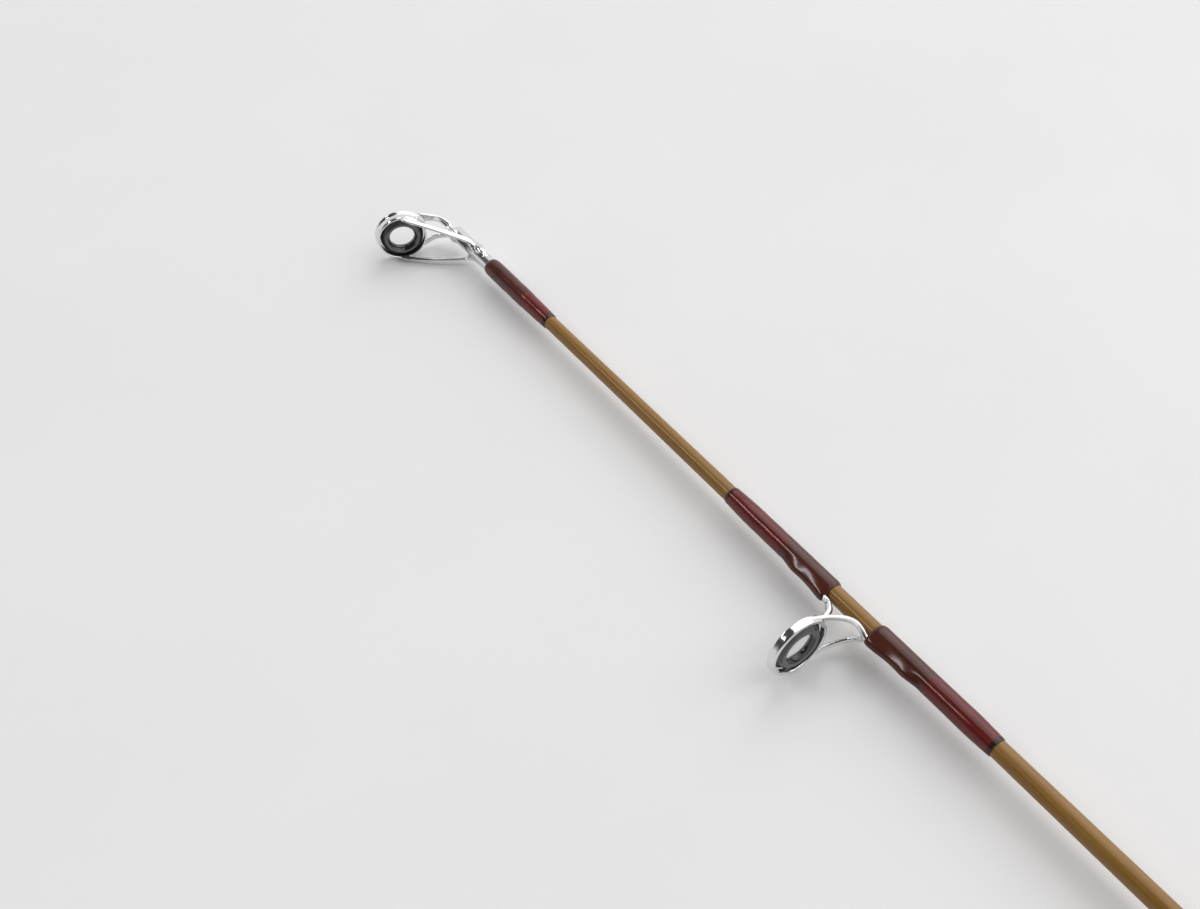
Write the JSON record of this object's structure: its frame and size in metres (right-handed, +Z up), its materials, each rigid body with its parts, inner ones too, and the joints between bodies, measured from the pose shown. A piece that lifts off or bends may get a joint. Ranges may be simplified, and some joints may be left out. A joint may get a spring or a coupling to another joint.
{
  "type": "fishing rod and reel",
  "caption": "Light two-piece spinning rod with glass-fibre blank, wound-on line guides, cork grips and an open-face spinning reel, lying on its side.",
  "frame": {"origin": "on the table under the middle of the whole object's bounding box, the rod and reel lying on the right side", "axes": "+X along the rod from the butt to the tip, +Y towards the side of the guides and reel, +Z up from the table, which is the angler's left"},
  "size_m": [1.5232, 0.1254, 0.0961],
  "materials": {
    "blank_glass": "clear glossy varnish over honey-brown glass fibre",
    "thread_winding": "dark red thread under thick glossy epoxy",
    "ring_chrome": "polished",
    "ring_ceramic": "satin dark grey ceramic",
    "ferrule_metal": "satin",
    "cork": "matte cork",
    "butt_rubber": "matte",
    "seat_plastic": "satin black",
    "seat_chrome": "polished",
    "reel_paint": "satin dark grey",
    "black_plastic": "matte black",
    "reel_aluminium": "satin",
    "bail_chrome": "polished",
    "steel": "satin",
    "brass": "satin"
  },
  "bodies": {
    "butt_section": {"guide_4_frame": "ring_chrome", "guide_4_ring": "ring_ceramic", "guide_4_front_winding": "thread_winding", "guide_4_rear_winding": "thread_winding", "butt_blank": "blank_glass", "female_ferrule": "ferrule_metal", "ferrule_butt_winding": "thread_winding", "butt_cap": "butt_rubber", "rear_grip": "cork", "reel_seat": "seat_plastic", "fixed_hood": "seat_chrome", "fore_grip": "cork", "winding_check": "seat_chrome", "reel_body": "reel_paint", "side_cover": "reel_paint", "cover_screw_1": "steel", "cover_screw_2": "steel", "cover_screw_3": "steel", "pinion_bearing": "steel", "gear_bearing_left": "steel", "gear_bearing_right": "steel"},
    "tip_section": {"tip_blank": "blank_glass", "male_ferrule": "ferrule_metal", "ferrule_tip_winding": "thread_winding", "tip_top_frame": "ring_chrome", "tip_top_ring": "ring_ceramic", "tip_top_winding": "thread_winding", "guide_1_frame": "ring_chrome", "guide_1_ring": "ring_ceramic", "guide_1_front_winding": "thread_winding", "guide_1_rear_winding": "thread_winding", "guide_2_frame": "ring_chrome", "guide_2_ring": "ring_ceramic", "guide_2_front_winding": "thread_winding", "guide_2_rear_winding": "thread_winding", "guide_3_frame": "ring_chrome", "guide_3_ring": "ring_ceramic", "guide_3_front_winding": "thread_winding", "guide_3_rear_winding": "thread_winding"},
    "sliding_hood": {"sliding_hood": "seat_chrome"},
    "lock_nut": {"lock_nut": "seat_chrome"},
    "rotor": {"rotor": "reel_paint", "rotor_nut": "steel", "pinion_gear": "brass"},
    "bail": {"bail_arm": "reel_aluminium", "bail_lever": "reel_aluminium", "bail_wire": "bail_chrome", "roller_screw": "steel"},
    "line_roller": {"line_roller": "bail_chrome"},
    "spindle": {"main_shaft": "steel", "oscillation_slider": "brass"},
    "spool": {"spool": "reel_aluminium", "drag_washers": "black_plastic"},
    "drag_knob": {"drag_knob": "black_plastic"},
    "crank": {"drive_gear": "brass", "handle_arm": "reel_aluminium"},
    "handle_knob": {"handle_knob": "black_plastic"},
    "anti_reverse_lever": {"anti_reverse_lever": "black_plastic"}
  },
  "joints": [
    {"name": "ferrule_slide", "type": "slide", "parent": "butt_section", "child": "tip_section", "axis": [1, 0, -0.0071], "range_m": [0, 0.024]},
    {"name": "hood_slide", "type": "slide", "parent": "butt_section", "child": "sliding_hood", "axis": [1, 0, -0.0071], "range_m": [0, 0.006]},
    {"name": "lock_nut_turn", "type": "hinge", "parent": "sliding_hood", "child": "lock_nut", "pos_m": [-0.53599, -0.04822, 0.01297], "axis": [1, 0, -0.0071], "range_deg": [0, 1440]},
    {"name": "rotor_turn", "type": "hinge", "parent": "butt_section", "child": "rotor", "pos_m": [-0.56141, 0.0189, 0.02403], "axis": [1, 0, -0.0071], "continuous": true},
    {"name": "handle_turn", "type": "hinge", "parent": "butt_section", "child": "crank", "pos_m": [-0.6014, 0.02581, 0.02543], "axis": [0.007, -0.1599, 0.9871], "continuous": true},
    {"name": "bail_flip", "type": "hinge", "parent": "rotor", "child": "bail", "pos_m": [-0.52941, 0.0189, 0.0238], "axis": [0.0011, 0.9871, 0.1599], "range_deg": [0, 110]},
    {"name": "line_roller_spin", "type": "hinge", "parent": "bail", "child": "line_roller", "pos_m": [-0.51932, -0.00795, 0.03692], "axis": [0.0011, 0.9871, 0.1599], "continuous": true},
    {"name": "spool_oscillation", "type": "slide", "parent": "butt_section", "child": "spindle", "axis": [1, 0, -0.0071], "range_m": [-0.006, 0.007]},
    {"name": "spool_turn", "type": "hinge", "parent": "spindle", "child": "spool", "pos_m": [-0.52941, 0.0189, 0.0238], "axis": [1, 0, -0.0071], "continuous": true},
    {"name": "drag_knob_turn", "type": "hinge", "parent": "spindle", "child": "drag_knob", "pos_m": [-0.51741, 0.0189, 0.02371], "axis": [1, 0, -0.0071], "range_deg": [0, 720]},
    {"name": "handle_knob_spin", "type": "hinge", "parent": "crank", "child": "handle_knob", "pos_m": [-0.62683, 0.05436, 0.07988], "axis": [0.007, -0.1599, 0.9871], "continuous": true},
    {"name": "anti_reverse_flip", "type": "hinge", "parent": "butt_section", "child": "anti_reverse_lever", "pos_m": [-0.6254, 0.02976, 0.02624], "axis": [1, 0, -0.0071], "range_deg": [0, 40]}
  ],
  "couplings": [
    {"joint": "hood_slide", "follows": "lock_nut_turn", "m_per_rad": 0.00023873},
    {"joint": "handle_turn", "follows": "rotor_turn", "ratio": 0.2}
  ]
}
